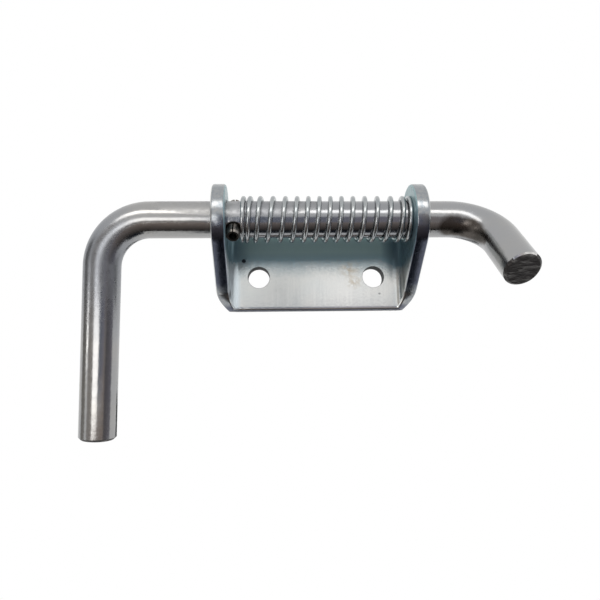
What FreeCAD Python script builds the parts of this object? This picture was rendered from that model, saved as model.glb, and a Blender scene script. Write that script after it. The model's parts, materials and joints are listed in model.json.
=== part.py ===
import FreeCAD, Part
import math
import os
from FreeCAD import Vector

# Spring loaded gate latch. A folded bracket guides a bent round bar, the bolt. A pin through the bolt
# stops it against one ear, and a spring between the pin and the other ear pulls the hook home.
# Frame: +X along the bolt towards the hook, +Y into the post behind the bracket, +Z up.
# Origin: midway between the two screw holes, on the bracket's mounting face. Millimetres and degrees.

# Bracket: one sheet, folded
SHEET = 4.5
BEND_RADIUS = 3.0
NEUTRAL_SHARE = 0.42
BRACKET_WIDTH = 69.0
PLATE_HEIGHT = 32.0
PLATE_BELOW_HOLES = 11.5
SCREW_HOLE_D = 7.5
SCREW_HOLE_SPACING = 40.0
CORNER_RISE = 5.5
CORNER_SHARE = 0.68
LOBE_RADIUS = 11.5
EDGE_ROUND = 0.8

# Bolt: round bar bent at both ends
BAR_D = 12.0
BAR_CLEARANCE = 0.25
AXIS_OFF_FACE = 20.0
AXIS_ABOVE_HOLES = 16.0
BAR_END_CHAMFER = 0.8
HOOK_START_X = 42.4
HOOK_BEND_RADIUS = 15.0
HOOK_BEND = 83.0
HOOK_LEG = 15.8
HOOK_DROOP = 49.0
HANDLE_START_X = -54.8
HANDLE_BEND_RADIUS = 15.5
HANDLE_BEND = 88.0
HANDLE_LEG = 55.8
HANDLE_DROOP = 100.0

# Cross pin: slotted spring pin, parallel to the plane of the hook
PIN_D = 4.5
PIN_WALL = 1.0
PIN_LENGTH = 20.0
PIN_SLOT = 0.45
PIN_CHAMFER = 0.4
PIN_CHAMFER_LENGTH = 0.7
SEAT_GAP = 0.1

# Spring: left hand coil of round wire, closed and ground at both ends
WIRE_D = 1.5
COIL_CLEARANCE = 0.2
COIL_TURNS = 15.5
CLOSED_PITCH = 0.95
LEFT_CLOSING_TURNS = 3.0
RIGHT_CLOSING_TURNS = 2.0
PITCH_BOW = 0.5
GRIND = 0.5
RINGS_PER_TURN = 12
LOFT_DEGREE = 3

AXIS_X = Vector(1, 0, 0)
AXIS_Y = Vector(0, 1, 0)
AXIS_Z = Vector(0, 0, 1)
BOLT_AXIS = Vector(0, -AXIS_OFF_FACE, AXIS_ABOVE_HOLES)
BAR_RADIUS = BAR_D / 2
BEND_OUTSIDE = BEND_RADIUS + SHEET
EAR_OUTER_X = BRACKET_WIDTH / 2
EAR_INNER_X = EAR_OUTER_X - SHEET
PLATE_LOW = -PLATE_BELOW_HOLES
PLATE_HIGH = PLATE_LOW + PLATE_HEIGHT
PIN_RADIUS = PIN_D / 2
PIN_X = -EAR_INNER_X + SEAT_GAP + PIN_RADIUS


def droop_direction(degrees):
    """Direction square to the bolt's axis: 0 points straight out of the plate and 90 straight down."""
    turn = math.radians(degrees)
    return Vector(0, -math.cos(turn), -math.sin(turn))


# Bracket. The blank's upper edges run straight from the plate's corners, through the bends, to the lobes.
# Its lower corners are cut off steeply where they bend, and the ears' lower edges go on less steeply.

BEND_X = EAR_OUTER_X - BEND_OUTSIDE
BEND_LENGTH = math.radians(90) * (BEND_RADIUS + NEUTRAL_SHARE * SHEET)
PLATE_MIDDLE = (PLATE_LOW + PLATE_HIGH) / 2
JOIN_TOLERANCE = 0.001


def blank_edge_climb(run, lift, side):
    """Angle of the flat blank's edge from a corner to where it touches the lobe, in radians.

    run and lift lead from the corner to the middle of the lobe.
    side is -1 for the edge under the lobe and +1 for the edge over it.
    """
    return math.atan2(lift, run) + side * math.asin(LOBE_RADIUS / math.hypot(run, lift))


EAR_RUN = AXIS_OFF_FACE - BEND_OUTSIDE
LOW_CLIMB = blank_edge_climb(EAR_RUN, AXIS_ABOVE_HOLES - PLATE_LOW - CORNER_RISE, -1)
HIGH_CLIMB = blank_edge_climb(EAR_RUN + BEND_LENGTH, AXIS_ABOVE_HOLES - PLATE_HIGH, 1)
HIGH_RISE = BEND_LENGTH * math.tan(HIGH_CLIMB)


def rim_section(back, inward, up, depth, climb):
    """Section of the sheet from its rounded rim to a level cut.

    back is where the rim's corner would be on the back face, inward points through the sheet, and up
    points from the rim into the sheet. A climbing rim is cut at a slant, so its rounds are elliptical.
    """
    tall = up * (EDGE_ROUND / math.cos(climb))
    near = back + inward * EDGE_ROUND + tall
    far = back + inward * (SHEET - EDGE_ROUND) + tall
    cut_near = back + up * depth
    cut_far = cut_near + inward * SHEET

    def rounded_corner(centre, start):
        ellipse = Part.Ellipse(centre + tall, centre + inward * EDGE_ROUND, centre)
        return Part.ArcOfEllipse(ellipse, start, start + math.pi / 2).toShape()

    edges = [
        rounded_corner(near, math.pi),
        Part.makeLine(near - tall, far - tall),
        rounded_corner(far, math.pi / 2),
        Part.makeLine(far + inward * EDGE_ROUND, cut_far),
        Part.makeLine(cut_far, cut_near),
        Part.makeLine(cut_near, near - inward * EDGE_ROUND),
    ]
    return Part.Wire(Part.sortEdges(edges)[0])


def plate_half(rim_z, up, climb):
    section = rim_section(Vector(-BEND_X, 0, rim_z), -AXIS_Y, up, PLATE_HEIGHT / 2, climb)
    return Part.Face(section).extrude(AXIS_X * (2 * BEND_X))


def left_bend_half(rim_z, up, climb, rise, rise_share):
    """Lower or upper half of the left bend. Its rim is level at first, then climbs round it to the ear."""
    level = 90 * (1 - rise_share)
    path = Part.makeHelix(4 * rise / rise_share, rise, BEND_OUTSIDE)
    section = rim_section(AXIS_X * BEND_OUTSIDE, -AXIS_X, up, PLATE_HEIGHT / 2 + rise, climb)
    swept = path.makePipeShell([section], True, True)
    if level > 0:
        swept.rotate(Vector(), AXIS_Z, level)
        swept = swept.fuse([Part.Face(section).revolve(Vector(), AXIS_Z, level)], JOIN_TOLERANCE)
    swept.rotate(Vector(), AXIS_Z, 90)
    swept.translate(Vector(-BEND_X, -BEND_OUTSIDE, rim_z))
    reach = PLATE_HEIGHT + BEND_OUTSIDE
    corner = Vector(-BEND_X - reach, -BEND_OUTSIDE - reach, PLATE_MIDDLE - reach)
    half_space = Part.makeBox(2 * reach, 2 * reach, reach, corner)
    if up.z < 0:
        half_space.translate(AXIS_Z * reach)
    return swept.common(half_space)


def left_ear():
    def at(off_face, z):
        return Vector(-EAR_OUTER_X, -off_face, z)

    def on_lobe(climb, side):
        off_face = AXIS_OFF_FACE - side * LOBE_RADIUS * math.sin(climb)
        return at(off_face, AXIS_ABOVE_HOLES + side * LOBE_RADIUS * math.cos(climb))

    low_start = at(BEND_OUTSIDE, PLATE_LOW + CORNER_RISE)
    high_start = at(BEND_OUTSIDE, PLATE_HIGH + HIGH_RISE)
    low_touch = on_lobe(LOW_CLIMB, -1)
    high_touch = on_lobe(HIGH_CLIMB, 1)
    nose = at(AXIS_OFF_FACE + LOBE_RADIUS, AXIS_ABOVE_HOLES)
    rim = [
        Part.makeLine(low_start, low_touch),
        Part.Arc(low_touch, nose, high_touch).toShape(),
        Part.makeLine(high_touch, high_start),
    ]
    outline = Part.Wire(rim + [Part.makeLine(high_start, low_start)])
    ear = Part.Face(outline).extrude(AXIS_X * SHEET)
    rim_middles = [edge.CenterOfMass for edge in rim]
    rim_middles += [middle + AXIS_X * SHEET for middle in rim_middles]
    rim_edges = [
        edge for edge in ear.Edges
        if min(edge.CenterOfMass.distanceToPoint(middle) for middle in rim_middles) < JOIN_TOLERANCE
    ]
    return ear.makeFillet(EDGE_ROUND, rim_edges)


def bracket():
    low_rim = (PLATE_LOW, AXIS_Z, LOW_CLIMB)
    high_rim = (PLATE_HIGH, -AXIS_Z, HIGH_CLIMB)
    plate = plate_half(*low_rim).fuse([plate_half(*high_rim)], JOIN_TOLERANCE)
    low_bend = left_bend_half(*low_rim, CORNER_RISE, CORNER_SHARE)
    high_bend = left_bend_half(*high_rim, HIGH_RISE, 1)
    left_side = low_bend.fuse([high_bend, left_ear()], JOIN_TOLERANCE)
    right_side = left_side.mirror(Vector(), AXIS_X)
    sheet = plate.fuse([left_side, right_side], JOIN_TOLERANCE).removeSplitter()
    for hole_x in (-SCREW_HOLE_SPACING / 2, SCREW_HOLE_SPACING / 2):
        hole = Part.makeCylinder(SCREW_HOLE_D / 2, 3 * SHEET, Vector(hole_x, -2 * SHEET, 0), AXIS_Y)
        sheet = sheet.cut(hole)
    bolt_bore = Part.makeCylinder(
        BAR_RADIUS + BAR_CLEARANCE, 2 * BRACKET_WIDTH, BOLT_AXIS - AXIS_X * BRACKET_WIDTH, AXIS_X)
    return sheet.cut(bolt_bore)


# Bolt. One straight run through both ears, with a bend and a leg at each end.

def bar_disc(centre, direction):
    return Part.Face(Part.Wire(Part.makeCircle(BAR_RADIUS, centre, direction)))


def bent_end(start_x, outward, droop, bend_radius, bend, leg):
    """Bend and leg at one end of the bar, with the leg's free end chamfered."""
    start = BOLT_AXIS + AXIS_X * start_x
    pivot = start + droop * bend_radius
    elbow = bar_disc(start, outward).revolve(pivot, outward.cross(droop), bend)
    turn = math.radians(bend)
    leg_start = pivot + (outward * math.sin(turn) - droop * math.cos(turn)) * bend_radius
    leg_direction = outward * math.cos(turn) + droop * math.sin(turn)
    tip = leg_start + leg_direction * leg
    straight = Part.makeCylinder(BAR_RADIUS, leg, leg_start, leg_direction)
    tip_edges = [e for e in straight.Edges if e.CenterOfMass.distanceToPoint(tip) < BAR_END_CHAMFER]
    return elbow.fuse(straight.makeChamfer(BAR_END_CHAMFER, tip_edges))


def pin_cylinder(radius, length):
    direction = droop_direction(HOOK_DROOP)
    middle = BOLT_AXIS + AXIS_X * PIN_X
    return Part.makeCylinder(radius, length, middle - direction * (length / 2), direction)


def bolt_rod():
    straight = Part.makeCylinder(
        BAR_RADIUS, HOOK_START_X - HANDLE_START_X, BOLT_AXIS + AXIS_X * HANDLE_START_X, AXIS_X)
    hook = bent_end(
        HOOK_START_X, AXIS_X, droop_direction(HOOK_DROOP),
        HOOK_BEND_RADIUS, HOOK_BEND, HOOK_LEG)
    handle = bent_end(
        HANDLE_START_X, -AXIS_X, droop_direction(HANDLE_DROOP),
        HANDLE_BEND_RADIUS, HANDLE_BEND, HANDLE_LEG)
    bar = straight.fuse([hook, handle]).removeSplitter()
    return bar.cut(pin_cylinder(PIN_RADIUS, 2 * BAR_D))


# Cross pin. A rolled tube with tapered ends and an open slot along its upper front.

def cross_pin():
    half = PIN_LENGTH / 2
    bore = PIN_RADIUS - PIN_WALL
    end_radius = PIN_RADIUS - PIN_CHAMFER
    shoulder = half - PIN_CHAMFER_LENGTH
    section = Part.makePolygon([
        Vector(bore, 0, -half),
        Vector(end_radius, 0, -half),
        Vector(PIN_RADIUS, 0, -shoulder),
        Vector(PIN_RADIUS, 0, shoulder),
        Vector(end_radius, 0, half),
        Vector(bore, 0, half),
        Vector(bore, 0, -half),
    ])
    tube = Part.Face(section).revolve(Vector(), AXIS_Z, 360)
    slot = Part.makeBox(PIN_SLOT, PIN_D, 2 * PIN_LENGTH, Vector(-PIN_SLOT / 2, 0, -PIN_LENGTH))
    pin = tube.cut(slot)
    direction = droop_direction(HOOK_DROOP)
    pin.rotate(Vector(), AXIS_X, math.degrees(math.atan2(-direction.y, direction.z)))
    pin.translate(BOLT_AXIS + AXIS_X * PIN_X)
    return pin


# Spring. Rings of wire section, set along a coil that opens from closed ends, lofted into one wire.
# A grinding wheel at each end flattens the last turn.

def ring_steps(length):
    """Advance along the bolt from each ring to the next, which together span the given length."""
    count = round(COIL_TURNS * RINGS_PER_TURN)
    closed = []
    open_share = []
    for index in range(count):
        turn = (index + 0.5) / RINGS_PER_TURN
        opening = min(1, turn / LEFT_CLOSING_TURNS, (COIL_TURNS - turn) / RIGHT_CLOSING_TURNS)
        from_middle = 2 * turn / COIL_TURNS - 1
        closed.append(CLOSED_PITCH * (1 - opening) / RINGS_PER_TURN)
        open_share.append(opening * (1 + PITCH_BOW * from_middle ** 2))
    open_step = (length - sum(closed)) / sum(open_share)
    return [shut + share * open_step for shut, share in zip(closed, open_share)]


def compression_spring():
    left_end = BOLT_AXIS + AXIS_X * (PIN_X + PIN_RADIUS + SEAT_GAP)
    right_end = BOLT_AXIS + AXIS_X * (EAR_INNER_X - SEAT_GAP)
    inset = WIRE_D / 2 - GRIND
    coil_radius = BAR_RADIUS + COIL_CLEARANCE + WIRE_D / 2
    first_centre = left_end + AXIS_X * inset - AXIS_Z * coil_radius
    first_ring = Part.Wire(Part.makeCircle(WIRE_D / 2, first_centre, AXIS_Y))
    rings = [first_ring]
    advance = 0
    for index, step in enumerate(ring_steps(right_end.x - left_end.x - 2 * inset)):
        advance += step
        ring = first_ring.copy()
        ring.rotate(BOLT_AXIS, AXIS_X, -360 * (index + 1) / RINGS_PER_TURN)
        ring.translate(AXIS_X * advance)
        rings.append(ring)
    coil = Part.makeLoft(rings, True, False, False, LOFT_DEGREE)
    wheels = [
        Part.makeCylinder(2 * coil_radius, WIRE_D, left_end, -AXIS_X),
        Part.makeCylinder(2 * coil_radius, WIRE_D, right_end, AXIS_X),
    ]
    return coil.cut(wheels)


PIECES = {
    "bracket": bracket,
    "bolt_rod": bolt_rod,
    "cross_pin": cross_pin,
    "compression_spring": compression_spring,
}

os.makedirs("parts", exist_ok=True)
for name, make in PIECES.items():
    make().exportStep(f"parts/{name}.step")
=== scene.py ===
import json
from math import asin, atan2, cos, hypot, pi, radians, sin

import bmesh
import bpy
from mathutils import Matrix, Vector


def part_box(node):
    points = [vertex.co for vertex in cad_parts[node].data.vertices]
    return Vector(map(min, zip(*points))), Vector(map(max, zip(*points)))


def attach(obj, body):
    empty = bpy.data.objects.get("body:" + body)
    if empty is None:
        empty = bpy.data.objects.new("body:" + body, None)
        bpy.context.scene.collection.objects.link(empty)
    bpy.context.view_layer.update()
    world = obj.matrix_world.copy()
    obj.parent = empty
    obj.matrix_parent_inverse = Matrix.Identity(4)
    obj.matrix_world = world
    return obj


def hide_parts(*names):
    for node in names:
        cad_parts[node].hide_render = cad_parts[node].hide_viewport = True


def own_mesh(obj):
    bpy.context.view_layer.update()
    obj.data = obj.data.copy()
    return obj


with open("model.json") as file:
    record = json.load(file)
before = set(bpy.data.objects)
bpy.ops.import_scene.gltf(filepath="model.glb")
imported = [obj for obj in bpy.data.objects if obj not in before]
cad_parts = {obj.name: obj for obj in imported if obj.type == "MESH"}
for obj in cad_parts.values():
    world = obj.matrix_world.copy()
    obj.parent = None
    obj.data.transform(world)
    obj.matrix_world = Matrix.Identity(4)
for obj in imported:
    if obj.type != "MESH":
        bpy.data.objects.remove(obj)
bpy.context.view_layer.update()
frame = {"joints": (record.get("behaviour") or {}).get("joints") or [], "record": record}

# The bracket: one steel sheet, cut to a blank with two round lobes and zinc plated all over.
# The lobes are folded forward into ears, and their holes guide the bolt.
# It is made flat here, its rims rounded and its holes cut, and then it is folded.
mm = 0.001
sheet = 4.5 * mm
rim_round = 0.8 * mm
bend_inside = 3.0 * mm
bend_outside = bend_inside + sheet
neutral_share = 0.42
lobe_radius = 11.5 * mm
corner_rise = 5.5 * mm
corner_share = 0.68
guide_radius = 6.25 * mm
hole_chamfer = 0.1 * mm
plate_top = 20.5 * mm
rim_steps = 5
bend_steps = 14
lobe_steps = 40
hole_sides = 48
flat_tilt = 0.9
rim_tilt = 0.6
sheet_crease = radians(32)
rim_finish = 1
hole_finish = 2
zinc_grey = (0.66, 0.66, 0.64, 1)
zinc_bright = (0.79, 0.79, 0.77, 1)
zinc_dim = (0.52, 0.53, 0.52, 1)
zinc_blue = (0.50, 0.56, 0.58, 1)
painted_reflection_dark = (0.21, 0.33, 0.38, 1)
painted_reflection_light = (0.32, 0.465, 0.48, 1)
painted_shade_navy = (0.08, 0.135, 0.165, 1)
painted_reflection_pale = (0.77, 0.86, 0.90, 1)
rim_grey = (0.36, 0.365, 0.365, 1)
rim_blue = (0.25, 0.275, 0.30, 1)
rim_painted_shade = (0.10, 0.11, 0.145, 1)
stain_brown = (0.46, 0.38, 0.27, 1)
mark_black = (0.01, 0.02, 0.03, 1)
hole_shade_black = (0.06, 0.06, 0.06, 1)

joints = {joint["name"]: joint for joint in frame["joints"]}
bolt_axis = Vector(joints["bolt_turn"]["pos_m"])
bracket_low, bracket_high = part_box("bracket")
screw_holes = next(mount for mount in frame["record"]["mounts"] if mount["name"] == "mounting_holes")
screw_x = screw_holes["dims"]["spacing_x_mm"] * mm / 2
screw_radius = screw_holes["dims"]["hole_r_mm"] * mm

plate_half = bracket_high.x - bend_outside
bend_length = (bend_inside + neutral_share * sheet) * pi / 2
ear_start = plate_half + bend_length
lobe_run = ear_start - bolt_axis.y - bend_outside
lobe_centre = Vector((lobe_run, 0, bolt_axis.z))


def rim_climb(corner, side):
    """Slope of the blank's straight rim, from a corner to where it touches the lobe."""
    run, rise = lobe_run - corner.x, bolt_axis.z - corner.z
    return atan2(rise, run) + side * asin(lobe_radius / hypot(run, rise))


def folded(point):
    """Where a point of the flat blank goes when both ears are folded forward."""
    side = 1 if point.x > 0 else -1
    run = abs(point.x)
    depth = -point.y
    if run <= plate_half:
        return point.copy()
    turn = min((run - plate_half) / bend_length, 1) * pi / 2
    radius = bend_outside - depth
    straight = max(run - ear_start, 0)
    across = plate_half + radius * sin(turn)
    forward = -bend_outside + radius * cos(turn) - straight
    return Vector((side * across, forward, point.z))


def only(kind, parts):
    """The vertices or the edges among what an operator gives back."""
    return [part for part in parts if isinstance(part, kind)]


def finished(work, name, crease=None):
    """Makes a piece of the mesh work. With a crease, it looks smooth except at edges that turn more."""
    mesh = bpy.data.meshes.new(name)
    for face in work.faces:
        face.smooth = crease is not None
    work.to_mesh(mesh)
    work.free()
    if crease is not None:
        mesh.set_sharp_from_angle(angle=crease)
    piece = bpy.data.objects.new(name, mesh)
    bpy.context.collection.objects.link(piece)
    return piece


low_corner = Vector((ear_start - corner_share * bend_length, -rim_round, bracket_low.z))
ear_corner = Vector((ear_start, -rim_round, bracket_low.z + corner_rise))
high_corner = Vector((plate_half, -rim_round, plate_top))
low_climb = rim_climb(ear_corner, -1)
high_climb = rim_climb(high_corner, 1)
low_touch = lobe_centre + lobe_radius * Vector((sin(low_climb), 0, -cos(low_climb)))

blank = bmesh.new()
bottom = [blank.verts.new(place) for place in (
    (0, -rim_round, bracket_low.z), low_corner, ear_corner, (low_touch.x, -rim_round, low_touch.z))]
lobe = bmesh.ops.spin(
    blank, geom=[bottom[-1]], cent=lobe_centre, axis=(0, -1, 0),
    angle=pi + high_climb - low_climb, steps=lobe_steps)
lobe_end = only(bmesh.types.BMVert, lobe["geom_last"])
top = lobe_end + [blank.verts.new(place) for place in (high_corner, (0, -rim_round, plate_top))]
for line in (bottom, top):
    for start, end in zip(line, line[1:]):
        blank.edges.new((start, end))
bmesh.ops.mirror(
    blank, geom=blank.verts[:] + blank.edges[:], matrix=Matrix.Identity(4), axis="X",
    merge_dist=rim_round / 100)
bmesh.ops.contextual_create(blank, geom=blank.edges[:])
raised = bmesh.ops.extrude_face_region(blank, geom=blank.faces[:])
bmesh.ops.translate(
    blank, vec=(0, 2 * rim_round - sheet, 0), verts=only(bmesh.types.BMVert, raised["geom"]))
bmesh.ops.recalc_face_normals(blank, faces=blank.faces[:])
caps = [face for face in blank.faces if abs(face.normal.y) > flat_tilt]
for step in range(rim_steps):
    start, end = (pi / 2 * (step + i) / rim_steps for i in (0, 1))
    for cap in caps:
        bmesh.ops.inset_region(
            blank, faces=[cap], use_even_offset=True,
            thickness=rim_round * (cos(start) - cos(end)), depth=rim_round * (sin(end) - sin(start)))
for cap in caps:
    bmesh.ops.inset_region(blank, faces=[cap], use_even_offset=True, thickness=rim_round / 2)
cap_rims = {cap.normal.y > 0: cap.edges[:] for cap in caps}
bmesh.ops.delete(blank, geom=caps, context="FACES_ONLY")
for centre, radius in (
        (Vector((screw_x, 0, 0)), screw_radius), (Vector((-screw_x, 0, 0)), screw_radius),
        (lobe_centre, guide_radius), (Vector((-lobe_run, 0, bolt_axis.z)), guide_radius)):
    rings = []
    for depth, ring_radius in (
            (0, radius + hole_chamfer), (hole_chamfer, radius),
            (sheet - hole_chamfer, radius), (sheet, radius + hole_chamfer)):
        lay = Matrix.Translation(centre - Vector((0, depth, 0))) @ Matrix.Rotation(pi / 2, 4, "X")
        ring = bmesh.ops.create_circle(blank, segments=hole_sides, radius=ring_radius, matrix=lay)["verts"]
        rings.append(list(dict.fromkeys(edge for vert in ring for edge in vert.link_edges)))
    for near, far in zip(rings, rings[1:]):
        for face in bmesh.ops.bridge_loops(blank, edges=near + far)["faces"]:
            face.material_index = hole_finish
    cap_rims[True] += rings[0]
    cap_rims[False] += rings[-1]
for rim in cap_rims.values():
    bmesh.ops.triangle_fill(blank, edges=rim, use_beauty=True)
bend_lines = [plate_half + bend_length * step / bend_steps for step in range(bend_steps + 1)]
for line in [plate_half - rim_round / 2] + bend_lines + [ear_start + rim_round / 2]:
    for side in (-1, 1):
        bmesh.ops.bisect_plane(
            blank, geom=blank.verts[:] + blank.edges[:] + blank.faces[:], dist=rim_round / 1000,
            plane_co=(side * line, 0, 0), plane_no=(1, 0, 0))
bmesh.ops.recalc_face_normals(blank, faces=blank.faces[:])
flat_sheet = blank.loops.layers.uv.new("flat_sheet_mm")
for face in blank.faces:
    if face.material_index == 0 and abs(face.normal.y) < rim_tilt:
        face.material_index = rim_finish
    for loop in face.loops:
        loop[flat_sheet].uv = (loop.vert.co.x / mm, loop.vert.co.z / mm)
for vert in blank.verts:
    vert.co = folded(vert.co)
folded_bracket = finished(blank, "folded_bracket", sheet_crease)


def metal(name, colour, roughness):
    """A bare metal finish and its shader."""
    finish = bpy.data.materials.new(name)
    finish.use_nodes = True
    shader = finish.node_tree.nodes["Principled BSDF"]
    shader.inputs["Base Color"].default_value = colour
    shader.inputs["Metallic"].default_value = 1
    shader.inputs["Roughness"].default_value = roughness
    return finish, shader


def feed(shader, socket, value):
    """Leads a value that varies over the piece into the shader."""
    shader.id_data.links.new(value, shader.inputs[socket])


def noise(place, stretch, detail):
    """Noise that reads a place in millimetres, stretched by how many cycles fit in each one."""
    tree = place.id_data
    mapping = tree.nodes.new("ShaderNodeMapping")
    mapping.inputs["Scale"].default_value = stretch
    tree.links.new(place, mapping.inputs["Vector"])
    texture = tree.nodes.new("ShaderNodeTexNoise")
    texture.inputs["Scale"].default_value = 1
    texture.inputs["Detail"].default_value = detail
    tree.links.new(mapping.outputs["Vector"], texture.inputs["Vector"])
    return texture.outputs["Fac"]


def spread(value, low, high, bottom=0.3, top=0.7):
    """The value's usual range, bottom to top, spread over low to high."""
    tree = value.id_data
    node = tree.nodes.new("ShaderNodeMapRange")
    for socket, number in (("From Min", bottom), ("From Max", top), ("To Min", low), ("To Max", high)):
        node.inputs[socket].default_value = number
    tree.links.new(value, node.inputs["Value"])
    return node.outputs["Result"]


def tint(share, first, second):
    """First colour where the share is 0 and the second where it is 1. Either may be a socket."""
    tree = share.id_data
    node = tree.nodes.new("ShaderNodeMix")
    node.data_type = "RGBA"
    tree.links.new(share, node.inputs["Factor"])
    for socket, colour in ((node.inputs[6], first), (node.inputs[7], second)):
        if isinstance(colour, tuple):
            socket.default_value = colour
        else:
            tree.links.new(colour, socket)
    return node.outputs[2]


def grain(shader, height, depth):
    """Bump of the given depth in metres."""
    bump = shader.id_data.nodes.new("ShaderNodeBump")
    bump.inputs["Strength"].default_value = 1
    bump.inputs["Distance"].default_value = depth
    feed(bump, "Height", height)
    feed(shader, "Normal", bump.outputs["Normal"])


def reckon(operation, *values):
    """One step of arithmetic on numbers and sockets."""
    tree = next(value.id_data for value in values if isinstance(value, bpy.types.NodeSocket))
    node = tree.nodes.new("ShaderNodeMath")
    node.operation = operation
    for socket, value in zip(node.inputs, values):
        if isinstance(value, (int, float)):
            socket.default_value = value
        else:
            tree.links.new(value, socket)
    return node.outputs["Value"]


def split_place(place):
    """The three numbers of a place."""
    tree = place.id_data
    node = tree.nodes.new("ShaderNodeSeparateXYZ")
    tree.links.new(place, node.inputs["Vector"])
    return node.outputs


def spot(place, centre, reach):
    """1 at the centre of a soft spot, and 0 from its reach outward. Both are given along each axis."""
    tree = place.id_data
    mapping = tree.nodes.new("ShaderNodeMapping")
    mapping.inputs["Scale"].default_value = [1 / size for size in reach]
    mapping.inputs["Location"].default_value = [-middle / size for middle, size in zip(centre, reach)]
    tree.links.new(place, mapping.inputs["Vector"])
    away = tree.nodes.new("ShaderNodeVectorMath")
    away.operation = "LENGTH"
    tree.links.new(mapping.outputs["Vector"], away.inputs[0])
    return spread(away.outputs["Value"], 1, 0, 0, 1)


def object_mm(shader):
    """Places on the piece, in millimetres."""
    tree = shader.id_data
    place = tree.nodes.new("ShaderNodeTexCoord")
    in_mm = tree.nodes.new("ShaderNodeMapping")
    in_mm.inputs["Scale"].default_value = (1 / mm, 1 / mm, 1 / mm)
    tree.links.new(place.outputs["Object"], in_mm.inputs["Vector"])
    return in_mm.outputs["Vector"]


# The sheet's faces are rolled and cloudy. Their pattern lies on the flat blank, so it follows the bends.
sheet_zinc, shader = metal("sheet_zinc", zinc_grey, 0.2)
flat = shader.id_data.nodes.new("ShaderNodeUVMap")
flat.uv_map = "flat_sheet_mm"
flat_place = flat.outputs["UV"]
across, up, _ = split_place(flat_place)
rolling = noise(flat_place, (1.6, 0.05, 1), 5)
clouds = noise(flat_place, (0.09, 0.11, 1), 4)
speckle = noise(flat_place, (1.1, 1.1, 1), 6)
plating = tint(spread(clouds, 0, 0.5, 0.4, 0.7), zinc_grey, zinc_blue)
for centre, reach, cloud in (
        ((-13, -4, 0), (13, 16, 1), zinc_dim),
        ((10, -6, 0), (17, 16, 1), zinc_bright)):
    plating = tint(spot(flat_place, centre, reach), plating, cloud)

# Only the side between the ears gets painted reflection and shade. A face counts as that side by its place
# in the thickness.
front_side_full, front_side_gone = 0.9 * sheet, 0.5 * sheet
sideways, back, _ = split_place(object_mm(shader))
between_ears = spread(
    reckon("ABSOLUTE", sideways), 1, 0,
    (bracket_high.x - front_side_full) / mm, (bracket_high.x - front_side_gone) / mm)
in_front = spread(back, 1, 0, -front_side_full / mm, -front_side_gone / mm)
inside = reckon("MULTIPLY", between_ears, in_front)

# A painted reflection of the bolt and spring and their shade: bluish, and starting at an uneven height. It
# is lighter higher up, and painted shade makes it dark on the right ear.
reflection_heights = (1, 9)
reflection_light_heights = (6, 9)
reflection_top_heights = (15, 20)
painted_shade_heights = (12, 16)
bend_at, bend_near, bend_far = plate_half / mm, 1, 4
left_bend = spread(across, 1, 0, -bend_at - bend_near, -bend_at + bend_near)
right_bend = spread(across, 0, 1, bend_at - bend_far, bend_at + bend_near)
reflection_height = reckon("ADD", up, left_bend)
for lift, most in ((clouds, 2), (right_bend, 2.8), (speckle, 3)):
    reflection_height = reckon("MULTIPLY_ADD", lift, most, reflection_height)
painted_reflection = reckon("POWER", spread(reflection_height, 0, 1, *reflection_heights), 2)
painted_reflection = reckon("MULTIPLY", painted_reflection, inside)
from_middle = reckon("ABSOLUTE", across)
clear_of_ears = spread(from_middle, 1, 0, bend_at - bend_far, bend_at + bend_near)
reflection_light_share = reckon("MULTIPLY", spread(up, 0, 1, *reflection_light_heights), clear_of_ears)
reflection_light_share = reckon("MAXIMUM", reflection_light_share, spread(up, 0, 0.7, *reflection_top_heights))
painted_shade_share = reckon("MULTIPLY", right_bend, spread(up, 1, 0, *painted_shade_heights))
reflection_colour = tint(painted_shade_share, tint(reflection_light_share, painted_reflection_dark, painted_reflection_light), painted_shade_navy)
plating = tint(painted_reflection, plating, reflection_colour)

# In the left bend, and on the ear past it, a pale painted reflection lies wherever the bluish one doesn't.
pale_reflection = reckon("MULTIPLY", left_bend, reckon("SUBTRACT", inside, painted_reflection))
plating = tint(pale_reflection, plating, painted_reflection_pale)
pale_reflection_share = spread(across, 0.9, 0.3, -bend_at - bend_far, -bend_at - bend_near)
pale_reflection_diffuse = reckon("MULTIPLY", pale_reflection, pale_reflection_share)
# Under both painted reflections the sheet is less metallic, so that diffuse light lightens them.
feed(shader, "Metallic", reckon("SUBTRACT", spread(painted_reflection, 1, 0.3, 0, 1), pale_reflection_diffuse))

# Two ragged brown stains and two black marks lie on the same side, and a black spot of painted shade inside
# the left bend, near the bottom.
ragged = spread(noise(flat_place, (0.7, 0.7, 1), 2), 0, 1.2, 0.35, 0.6)
for centre, reach, mark, share in (
        ((11.6, 2.6, 0), (4.4, 3.4, 1), stain_brown, 0.6),
        ((13.2, -1.6, 0), (3.6, 3.2, 1), stain_brown, 0.55),
        ((22.0, -6.0, 0), (0.6, 0.5, 1), mark_black, 0.7),
        ((-25.2, 5.9, 0), (0.8, 0.8, 1), mark_black, 4),
        ((-33.0, -6.4, 0), (1.6, 2.4, 1), mark_black, 1)):
    marked = reckon("MULTIPLY", spot(flat_place, centre, reach), share)
    marked = reckon("MULTIPLY", marked, inside)
    if mark == stain_brown:
        marked = reckon("MULTIPLY", marked, ragged)
    plating = tint(marked, plating, mark)
feed(shader, "Base Color", plating)
on_plate = spread(from_middle, 1, 0, bend_at, ear_start / mm)
dulled = spread(on_plate, 0.1, 0)
feed(shader, "Roughness", reckon("ADD", spread(rolling, 0.14, 0.26), dulled))
grain(shader, spread(speckle, 0, 1), 0.008 * mm)
folded_bracket.data.materials.append(sheet_zinc)
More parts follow.
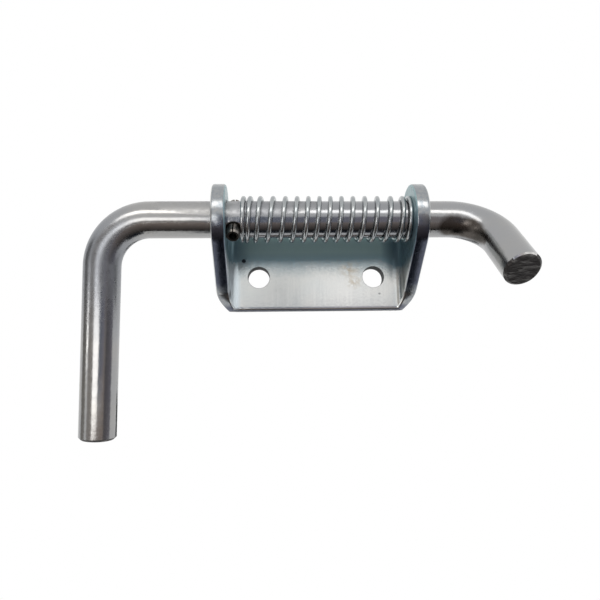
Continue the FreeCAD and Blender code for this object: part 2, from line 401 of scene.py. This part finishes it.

# The rim is pitted. Painted shade darkens it on its straight runs, and along the bottom.
run_starts = (-5.6, -3.6)
run_ends = (10, 13.5)
bottom_ends = (bracket_low.z / mm + 1, bracket_low.z / mm + 2.2)
sheared_zinc, shader = metal("sheared_zinc", rim_grey, 0.3)
place = object_mm(shader)
pits = noise(place, (0.9, 0.9, 0.9), 5)
rim_plating = tint(spread(pits, 0, 1), rim_grey, rim_blue)
height = split_place(place)[2]
shaded_straight_rim = reckon("MINIMUM", spread(height, 1, 0, *run_ends), spread(height, 0, 1, *run_starts))
shaded_bottom_rim = spread(height, 1, 0, *bottom_ends)
painted_rim_shade = reckon("MAXIMUM", shaded_straight_rim, shaded_bottom_rim)
feed(shader, "Base Color", tint(painted_rim_shade, rim_plating, rim_painted_shade))
feed(shader, "Roughness", spread(pits, 0.16, 0.28))
grain(shader, pits, 0.025 * mm)
folded_bracket.data.materials.append(sheared_zinc)

# The walls of the holes are painted nearly black, a painted shade as in a deep recess, with a few streaks
# of zinc.
shaded_hole_wall, shader = metal("shaded_hole_wall", hole_shade_black, 0.6)
shader.inputs["Metallic"].default_value = 0
shader.inputs["Specular IOR Level"].default_value = 0.1
tears = noise(object_mm(shader), (1.5, 0.3, 1.5), 5)
feed(shader, "Base Color", tint(spread(tears, 0, 0.15), hole_shade_black, zinc_blue))
folded_bracket.data.materials.append(shaded_hole_wall)

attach(folded_bracket, "bracket")
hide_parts("bracket")

# The bolt: a zinc plated round bar, bent cold into a long handle at the left and a short hook at the right.
# It was sheared to length, so its ends are rough. Their faces and chamfers are painted dark, a painted dark
# reflection, and the forward-facing part of each chamfer's outer lip carries a painted highlight.
# One ring of its section is carried along the bar, from the handle's end to the hook's.
bar_radius = 6.0 * mm
bar_chamfer = 0.8 * mm
bright_lip = 0.45 * mm
handle_bend_x = -54.8 * mm
handle_bend_radius = 15.5 * mm
handle_bend = radians(88)
handle_leg = 55.8 * mm
handle_droop = radians(100)
hook_bend_x = 42.4 * mm
hook_bend_radius = 15.0 * mm
hook_bend = radians(83)
hook_leg = 15.8 * mm
hook_droop = radians(49)
reflection_lean = radians(8)
pin_radius = 2.25 * mm
bar_sides = 64
handle_steps = 24
bar_bend_steps = 30
straight_steps = 40
hook_steps = 8
bar_crease = radians(32)
highlight_tilt = -0.86
cut_finish = 1
lip_finish = 2
bar_bright = (0.355, 0.35, 0.34, 1)
bar_blue = (0.315, 0.325, 0.345, 1)
bar_painted_shade = (0.25, 0.26, 0.28, 1)
hook_reflection_brown = (0.10, 0.09, 0.082, 1)
pin_hole_shade_black = (0.012, 0.011, 0.01, 1)
end_painted_dark = (0.06, 0.057, 0.056, 1)
lip_painted_highlight = (0.86, 0.85, 0.83, 1)
along_bolt = Vector((1, 0, 0))


def droop(angle):
    """Direction square to the bolt, which starts straight forward and turns downward."""
    return Vector((0, -cos(angle), -sin(angle)))


def carry(work, ring, steps, move=Vector(), centre=Vector(), axis=along_bolt, angle=0):
    """Carries a ring of wire or bar on by equal steps, straight or round a bend, and skins between them."""
    for _ in range(steps):
        swept = bmesh.ops.spin(
            work, geom=ring, cent=centre, axis=axis, dvec=move / steps, angle=angle / steps, steps=1)
        ring = only(bmesh.types.BMEdge, swept["geom_last"])
    return ring


def step_ring(work, ring, move, radius):
    """Carries a ring on once and gives it a new radius."""
    ring = carry(work, ring, 1, move=move)
    verts = list(dict.fromkeys(vert for edge in ring for vert in edge.verts))
    centre = sum((vert.co for vert in verts), Vector()) / len(verts)
    growth = radius / (verts[0].co - centre).length
    bmesh.ops.scale(work, verts=verts, vec=(growth, growth, growth), space=Matrix.Translation(-centre))
    return ring


handle_down = droop(handle_droop)
handle_pivot = bolt_axis + along_bolt * handle_bend_x + handle_down * handle_bend_radius
handle_out = -along_bolt * cos(handle_bend) + handle_down * sin(handle_bend)
handle_top = handle_pivot + handle_bend_radius * (
    -along_bolt * sin(handle_bend) - handle_down * cos(handle_bend))
handle_tip = handle_top + handle_out * handle_leg
hook_down = droop(hook_droop)
hook_pivot = bolt_axis + along_bolt * hook_bend_x + hook_down * hook_bend_radius
hook_out = along_bolt * cos(hook_bend) + hook_down * sin(hook_bend)
pin_low, pin_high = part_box("cross_pin")
pin_middle = Vector(((pin_low.x + pin_high.x) / 2, bolt_axis.y, bolt_axis.z))
pin_way = hook_down

bar = bmesh.new()
lay = Matrix.Translation(handle_tip) @ handle_out.to_track_quat("Z", "X").to_matrix().to_4x4()
bmesh.ops.create_circle(bar, segments=bar_sides, radius=bar_radius - bar_chamfer, matrix=lay)
ring = bar.edges[:]
bmesh.ops.contextual_create(bar, geom=ring)
ring = step_ring(bar, ring, -handle_out * (bar_chamfer - bright_lip), bar_radius - bright_lip)
torn_faces = bar.faces[:]
ring = step_ring(bar, ring, -handle_out * bright_lip, bar_radius)
lip_faces = [face for face in bar.faces if face not in torn_faces]
ring = carry(bar, ring, handle_steps, move=-handle_out * (handle_leg - bar_chamfer))
ring = carry(
    bar, ring, bar_bend_steps, centre=handle_pivot, axis=handle_down.cross(along_bolt), angle=-handle_bend)
ring = carry(bar, ring, straight_steps, move=along_bolt * (hook_bend_x - handle_bend_x))
ring = carry(
    bar, ring, bar_bend_steps, centre=hook_pivot, axis=along_bolt.cross(hook_down), angle=hook_bend)
ring = carry(bar, ring, hook_steps, move=hook_out * (hook_leg - bar_chamfer))
up_to_lip = set(bar.faces)
ring = step_ring(bar, ring, hook_out * bright_lip, bar_radius - bright_lip)
up_to_cut = set(bar.faces)
lip_faces += up_to_cut - up_to_lip
ring = step_ring(bar, ring, hook_out * (bar_chamfer - bright_lip), bar_radius - bar_chamfer)
bmesh.ops.contextual_create(bar, geom=ring)
torn_faces += set(bar.faces) - up_to_cut
bmesh.ops.recalc_face_normals(bar, faces=bar.faces[:])
for face in torn_faces:
    face.material_index = cut_finish
# Lip faces that face forward get the painted highlight, and the rest the painted dark.
for face in lip_faces:
    highlighted = face.normal.y < highlight_tilt
    face.material_index = lip_finish if highlighted else cut_finish
bent_bar = finished(bar, "bent_bar", bar_crease)


def filled(mask, times):
    """A soft mask made so many times stronger, up to 1."""
    return reckon("MINIMUM", reckon("MULTIPLY", mask, times), 1)


# The bar is mottled. Painted shade darkens it under the spring and below the handle's bend, and a painted
# dark reflection lies inside the hook's bend.
bar_zinc, shader = metal("bar_zinc", bar_bright, 0.16)
place = object_mm(shader)
mottle = noise(place, (0.06, 0.06, 0.06), 4)
speckle = noise(place, (0.7, 0.7, 0.7), 6)
dents = noise(place, (0.16, 0.16, 0.16), 3)
plating = tint(spread(mottle, 0, 0.8), bar_bright, bar_blue)
spring_low, spring_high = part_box("compression_spring")
lengthways = split_place(place)[0]
# Painted shade under the spring.
shade_under_spring = reckon(
    "MINIMUM", spread(lengthways, 0, 0.5, spring_low.x / mm, spring_low.x / mm + 2),
    spread(lengthways, 0.5, 0, spring_high.x / mm - 2, spring_high.x / mm))
plating = tint(shade_under_spring, plating, bar_painted_shade)
# A painted dark reflection inside the hook's bend, leaning to one side of the bar; the bar is rougher under
# it too.
hook_dark_reflection = 0
across_hook = hook_down.cross(along_bolt)
for bend_part, reach in (
        (0, 4.4), (0.16, 4.5), (0.32, 4.5), (0.48, 4.4), (0.64, 4), (0.8, 3.2), (0.95, 2.2)):
    turn = hook_bend * bend_part
    outward = along_bolt * sin(turn) - hook_down * cos(turn)
    leaning = outward * cos(reflection_lean) - across_hook * sin(reflection_lean)
    skin = hook_pivot + hook_bend_radius * outward - bar_radius * leaning
    hook_dark_reflection = reckon("MAXIMUM", hook_dark_reflection, spot(place, skin / mm, [reach] * 3))
hook_dark_reflection = filled(hook_dark_reflection, spread(dents, 1.8, 4))
plating = tint(hook_dark_reflection, plating, hook_reflection_brown)
# Painted shade below the handle's bend, where the bar is also made rougher.
handle_dull_and_shade = filled(spot(place, (handle_top - handle_down * 2 * mm) / mm, (16, 16, 28)), 1.5)
plating = tint(handle_dull_and_shade, plating, bar_painted_shade)
# A black ring round the pin is painted shade, standing for the gap of its hole in the bar.
pin_hole_shade = spot(place, (pin_middle + pin_way * bar_radius) / mm, [pin_radius / mm + 0.9] * 3)
plating = tint(spread(pin_hole_shade, 0, 1, 0.04, 0.16), plating, pin_hole_shade_black)
feed(shader, "Base Color", plating)

# The bolt's left half is scuffed along its upper side, and the bar is less glossy at both bends.
scuff_middle = (-26, bolt_axis.y / mm, bolt_axis.z / mm + 4)
scuff_reach = (29, 1000, 5)
scuffed = filled(spot(place, scuff_middle, scuff_reach), 8)
dullness = reckon(
    "MULTIPLY_ADD", spread(speckle, 0.2, 0.34, 0.35, 0.65), scuffed, spread(speckle, 0.13, 0.23))
hook_top = hook_pivot - hook_down * hook_bend_radius
hook_dull = spot(place, (hook_top + along_bolt * 8 * mm) / mm, (16, 16, 16))
dullness = reckon("MULTIPLY_ADD", reckon("MAXIMUM", hook_dark_reflection, hook_dull), 0.1, dullness)
feed(shader, "Roughness", reckon("MULTIPLY_ADD", handle_dull_and_shade, 0.14, dullness))
grain(shader, reckon("MULTIPLY_ADD", dents, 8, speckle), 0.012 * mm)
bent_bar.data.materials.append(bar_zinc)

# The sheared ends: rough, and painted dark as a dark reflection.
painted_dark_end, shader = metal("painted_dark_end", end_painted_dark, 0.45)
shear = noise(object_mm(shader), (0.25, 0.9, 0.9), 6)
feed(shader, "Base Color", tint(spread(shear, 0, 0.6, 0.5, 0.8), end_painted_dark, bar_bright))
grain(shader, shear, 0.3 * mm)
bent_bar.data.materials.append(painted_dark_end)

# The forward-facing lip of each chamfer: a painted highlight.
painted_highlight_lip, shader = metal("painted_highlight_lip", lip_painted_highlight, 0.25)
highlight_noise = noise(object_mm(shader), (0.8, 0.8, 0.8), 4)
feed(shader, "Base Color", tint(spread(highlight_noise, 0, 0.6), lip_painted_highlight, bar_bright))
bent_bar.data.materials.append(painted_highlight_lip)

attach(bent_bar, "bolt")
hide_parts("bolt_rod")

# The cross pin: a slotted spring pin, rolled from dark hardened strip and pressed through the bolt.
# It stops the bolt against the left ear, and its ends carry the spring.
# Its section is spun round the pin's axis, all but the slot.
pin_bore = 1.25 * mm
pin_half = 10.0 * mm
pin_end_radius = 1.85 * mm
pin_taper = 0.7 * mm
pin_slot = 0.45 * mm
slot_angle = 2 * asin(pin_slot / 2 / pin_radius)
pin_steps = 48
pin_crease = radians(28)
bore_tilt = 0.2
bore_finish = 1
pin_dark = (0.22, 0.21, 0.20, 1)
pin_brown = (0.13, 0.115, 0.10, 1)
pin_end_shade_black = (0.02, 0.02, 0.02, 1)

slot_way = pin_way.cross(along_bolt)
pin = bmesh.new()
section = []
for radius, reach in (
        (pin_bore, -pin_half), (pin_end_radius, -pin_half), (pin_radius, pin_taper - pin_half),
        (pin_radius, pin_half - pin_taper), (pin_end_radius, pin_half), (pin_bore, pin_half)):
    section.append(pin.verts.new(pin_middle + slot_way * radius + pin_way * reach))
for start, end in zip(section, section[1:] + section[:1]):
    pin.edges.new((start, end))
bmesh.ops.rotate(
    pin, verts=section, cent=pin_middle, matrix=Matrix.Rotation(slot_angle / 2, 3, pin_way))
ring = carry(pin, pin.edges[:], pin_steps, centre=pin_middle, axis=pin_way, angle=2 * pi - slot_angle)
bmesh.ops.contextual_create(pin, geom=ring)
bmesh.ops.contextual_create(pin, geom=[edge for edge in pin.edges if edge.is_boundary])
bmesh.ops.recalc_face_normals(pin, faces=pin.faces[:])
# The ends, the bore and the slot's sides get the painted shade.
for face in pin.faces:
    from_pin = face.calc_center_median() - pin_middle
    from_axis = from_pin - from_pin.dot(pin_way) * pin_way
    if face.normal.dot(from_axis.normalized()) < bore_tilt:
        face.material_index = bore_finish
spring_pin = finished(pin, "spring_pin", pin_crease)

pin_steel, shader = metal("pin_steel", pin_dark, 0.32)
place = object_mm(shader)
temper = noise(place, (0.5, 0.5, 0.5), 4)
drawn = noise(place, (4, 0.4, 0.4), 4)
feed(shader, "Base Color", tint(spread(temper, 0, 1), pin_dark, pin_brown))
feed(shader, "Roughness", spread(drawn, 0.26, 0.4))
grain(shader, drawn, 0.01 * mm)
spring_pin.data.materials.append(pin_steel)

# The pin's ends, bore and slot sides are painted nearly black: painted shade, with brown mottling.
shaded_pin_end_and_bore, shader = metal("shaded_pin_end_and_bore", pin_end_shade_black, 0.5)
shade_mottle = noise(object_mm(shader), (1.2, 1.2, 1.2), 4)
feed(shader, "Base Color", tint(spread(shade_mottle, 0, 0.5), pin_end_shade_black, pin_brown))
spring_pin.data.materials.append(shaded_pin_end_and_bore)

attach(spring_pin, "bolt")
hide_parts("cross_pin")

# The spring: bright zinc plated wire, coiled left handed on the bolt between the pin and the right ear.
# Its end turns are closed up and ground flat, so that they sit square.
# The pitch opens over the first turns, and is a little wider near the ends than in the middle.
wire_radius = 0.75 * mm
coil_turns = 15.5
closed_pitch = 0.95 * mm
left_closing = 3.0
right_closing = 2.0
pitch_bow = 0.5
ground_off = 0.5 * mm
wire_sides = 18
steps_a_turn = 48
wire_crease = radians(40)
wire_bright = (0.42, 0.43, 0.43, 1)
wire_blue = (0.31, 0.335, 0.35, 1)

coil_radius = (spring_high.z - spring_low.z) / 2 - wire_radius
wire_inset = wire_radius - ground_off
coil_start = Vector((spring_low.x + wire_inset, bolt_axis.y, bolt_axis.z - coil_radius))
coil_length = spring_high.x - spring_low.x - 2 * wire_inset
openings = []
for step in range(round(coil_turns * steps_a_turn)):
    turn = (step + 0.5) / steps_a_turn
    openings.append(min(1, turn / left_closing, (coil_turns - turn) / right_closing))
bows = [1 + pitch_bow * (2 * step / len(openings) - 1) ** 2 for step in range(len(openings))]
closed_part = sum(1 - opening for opening in openings) * closed_pitch / steps_a_turn
open_step = (coil_length - closed_part) / sum(opening * bow for opening, bow in zip(openings, bows))

coil = bmesh.new()
lay = Matrix.Translation(coil_start) @ Matrix.Rotation(pi / 2, 4, "X")
bmesh.ops.create_circle(coil, segments=wire_sides, radius=wire_radius, matrix=lay)
ring = coil.edges[:]
bmesh.ops.contextual_create(coil, geom=ring)
for opening, bow in zip(openings, bows):
    advance = closed_pitch * (1 - opening) / steps_a_turn + opening * bow * open_step
    ring = carry(
        coil, ring, 1, move=along_bolt * advance,
        centre=bolt_axis, axis=-along_bolt, angle=2 * pi / steps_a_turn)
bmesh.ops.contextual_create(coil, geom=ring)
for end_x, end_way in ((spring_low.x, -1), (spring_high.x, 1)):
    cut = bmesh.ops.bisect_plane(
        coil, geom=coil.verts[:] + coil.edges[:] + coil.faces[:], dist=wire_radius / 1000,
        plane_co=(end_x, 0, 0), plane_no=(end_way, 0, 0), clear_outer=True)
    bmesh.ops.holes_fill(coil, edges=only(bmesh.types.BMEdge, cut["geom_cut"]))
bmesh.ops.recalc_face_normals(coil, faces=coil.faces[:])
coil_spring = finished(coil, "coil_spring", wire_crease)

spring_wire, shader = metal("spring_wire", wire_bright, 0.2)
place = object_mm(shader)
patches = noise(place, (0.3, 0.3, 0.3), 4)
scratches = noise(place, (3, 0.7, 0.7), 4)
feed(shader, "Base Color", tint(spread(patches, 0, 1), wire_bright, wire_blue))
feed(shader, "Roughness", spread(scratches, 0.15, 0.3))
grain(shader, scratches, 0.001 * mm)
coil_spring.data.materials.append(spring_wire)

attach(coil_spring, "spring")
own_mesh(coil_spring)
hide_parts("compression_spring")

# The studio: a pale floor far below and white all round, with a soft lamp high in front and a small one
# at the left. Bright and dark cards, hidden from the camera, give the metal the bands that it mirrors.
floor_drop = 0.6
floor_half = 4
fill_light = 0.6
white = (1, 1, 1, 1)
floor_pale = (0.9, 0.9, 0.9, 1)
lamp_warm = (1, 0.97, 0.93)


def seen_share(tree):
    """1 for rays from the camera, mirrors and glass, and 0 for the light that falls on things."""
    path = tree.nodes.new("ShaderNodeLightPath")
    share = path.outputs["Is Camera Ray"]
    for ray in ("Is Glossy Ray", "Is Transmission Ray"):
        share = reckon("MAXIMUM", share, path.outputs[ray])
    return share


world = bpy.data.worlds.new("white_studio")
bpy.context.scene.world = world
world.use_nodes = True
background = world.node_tree.nodes["Background"]
background.inputs["Color"].default_value = white
feed(background, "Strength", spread(seen_share(world.node_tree), fill_light, 1, 0, 1))

floor_work = bmesh.new()
bmesh.ops.create_grid(
    floor_work, x_segments=1, y_segments=1, size=floor_half, matrix=Matrix.Translation((0, 0, -floor_drop)))
floor = finished(floor_work, "floor")
floor_finish = bpy.data.materials.new("pale_floor")
floor_finish.use_nodes = True
floor_tree = floor_finish.node_tree
paint = floor_tree.nodes["Principled BSDF"]
paint.inputs["Base Color"].default_value = floor_pale
paint.inputs["Roughness"].default_value = 0.8
glow = floor_tree.nodes.new("ShaderNodeEmission")
glow.inputs["Color"].default_value = white
both = floor_tree.nodes.new("ShaderNodeMixShader")
feed(both, "Fac", seen_share(floor_tree))
feed(both, 1, paint.outputs["BSDF"])
feed(both, 2, glow.outputs["Emission"])
feed(floor_tree.nodes["Material Output"], "Surface", both.outputs["Shader"])
floor.data.materials.append(floor_finish)


def card(name, corners, near, far):
    """A card that only mirrors see. Its colour fades from near, along the first edge, to far."""
    work = bmesh.new()
    work.faces.new([work.verts.new(corner) for corner in corners])
    fade = work.loops.layers.uv.new("fade")
    for face in work.faces:
        for loop, share in zip(face.loops, (0, 0, 1, 1)):
            loop[fade].uv = (share, 0)
    board = finished(work, name)
    board.visible_camera = False
    colour = bpy.data.materials.new(name)
    colour.use_nodes = True
    nodes = colour.node_tree.nodes
    faded = nodes.new("ShaderNodeUVMap")
    faded.uv_map = "fade"
    light = nodes.new("ShaderNodeEmission")
    feed(light, "Color", tint(split_place(faded.outputs["UV"])[0], near, far))
    feed(nodes["Material Output"], "Surface", light.outputs["Emission"])
    board.data.materials.append(colour)


def around(azimuth, height, distance=0.6):
    """A place beside the bolt: azimuth 0 is in front, and 90 is to the right."""
    turn = radians(azimuth)
    return Vector((distance * sin(turn), bolt_axis.y - distance * cos(turn), bolt_axis.z + height))


def soft_lamp(name, place, width, tall, power):
    """A soft oblong lamp that faces the bolt."""
    lamp_data = bpy.data.lights.new(name, "AREA")
    lamp_data.shape = "RECTANGLE"
    lamp_data.size = width
    lamp_data.size_y = tall
    lamp_data.energy = power
    lamp_data.color = lamp_warm
    lamp = bpy.data.objects.new(name, lamp_data)
    facing = (place - bolt_axis).to_track_quat("Z", "Y").to_matrix().to_4x4()
    lamp.matrix_world = Matrix.Translation(place) @ facing
    bpy.context.collection.objects.link(lamp)


card("lower_card",
     ((-0.5, -0.57, -0.25), (0.5, -0.57, -0.25), (0.5, -0.015, -0.34), (-0.5, -0.015, -0.34)),
     (0.50, 0.42, 0.38, 1), (0.008, 0.01, 0.012, 1))
card("under_card",
     ((-0.070, -0.02, -0.25), (0.106, -0.02, -0.25), (0.106, 0.075, -0.25), (-0.070, 0.075, -0.25)),
     (0.012, 0.016, 0.024, 1), (0.03, 0.04, 0.05, 1))
card("back_card",
     ((-0.055, 0.25, -0.105), (0.095, 0.25, -0.105), (0.095, 0.25, -0.04), (-0.055, 0.25, -0.04)),
     (0.06, 0.065, 0.07, 1), (0.06, 0.065, 0.07, 1))
card("front_card",
     ((-0.049, -0.19, -0.10), (-0.049, -0.19, 0.015), (0.065, -0.19, 0.015), (0.065, -0.19, -0.10)),
     (0.22, 0.26, 0.33, 1), (0.38, 0.36, 0.42, 1))
card("right_card",
     ((0.065, -0.19, -0.10), (0.065, -0.19, 0.015), (0.10, -0.165, 0.015), (0.10, -0.165, -0.10)),
     (0.36, 0.33, 0.34, 1), (0.36, 0.33, 0.32, 1))
card("far_right_card",
     ((0.10, -0.165, -0.16), (0.10, -0.165, 0.0), (0.30, 0.0, 0.0), (0.30, 0.0, -0.16)),
     (0.16, 0.15, 0.16, 1), (0.30, 0.29, 0.34, 1))
card("left_card",
     (around(-30, -0.3), around(-30, 0.22), around(-62, 0.22), around(-62, -0.3)),
     (0.52, 0.49, 0.46, 1), (0.45, 0.42, 0.40, 1))
card("left_edge_card",
     (around(-104, -0.3), around(-76, -0.3), around(-76, 0.22), around(-104, 0.22)),
     (0.5, 0.48, 0.45, 1), (0.03, 0.03, 0.03, 1))
card("key_card",
     ((-0.19, -0.26, -0.16), (-0.04, -0.30, -0.16), (-0.04, -0.30, 0.0), (-0.19, -0.26, 0.0)),
     (3.2, 3.1, 3.0, 1), (2.6, 2.6, 2.6, 1))
card("near_card",
     ((-0.076, -0.07, -0.016), (-0.040, -0.07, -0.016), (-0.040, -0.07, -0.003), (-0.076, -0.07, -0.003)),
     (0.36, 0.34, 0.33, 1), (0.5, 0.48, 0.47, 1))
soft_lamp("high_lamp", Vector((-0.06, -0.5, 0.34)), 0.72, 0.19, 1.1)
soft_lamp("left_lamp", around(-69, -0.071), 0.10, 0.085, 0.07)

# The camera stands low in front, where the photograph was taken.
# Its place, turns and lens are set so that the part falls where the photograph shows it.
camera_place = Vector((-15.7276, -213.3939, -45.6241)) * mm
camera_pitch = radians(10.186)
camera_yaw = radians(-2.719)
camera_roll = radians(0.955)
picture_width = 600
focal_pixels = 613.03
nearest_seen = 0.01
camera_data = bpy.data.cameras.new("camera")
camera_data.sensor_width = 36
camera_data.lens = focal_pixels / picture_width * camera_data.sensor_width
camera_data.clip_start = nearest_seen
camera = bpy.data.objects.new("camera", camera_data)
camera.matrix_world = (
    Matrix.Translation(camera_place) @ Matrix.Rotation(camera_yaw, 4, "Z")
    @ Matrix.Rotation(camera_pitch, 4, "X") @ Matrix.Rotation(camera_roll, 4, "Y")
    @ Matrix.Rotation(pi / 2, 4, "X"))
bpy.context.collection.objects.link(camera)
bpy.context.scene.camera = camera
bpy.context.scene.view_settings.view_transform = "Standard"
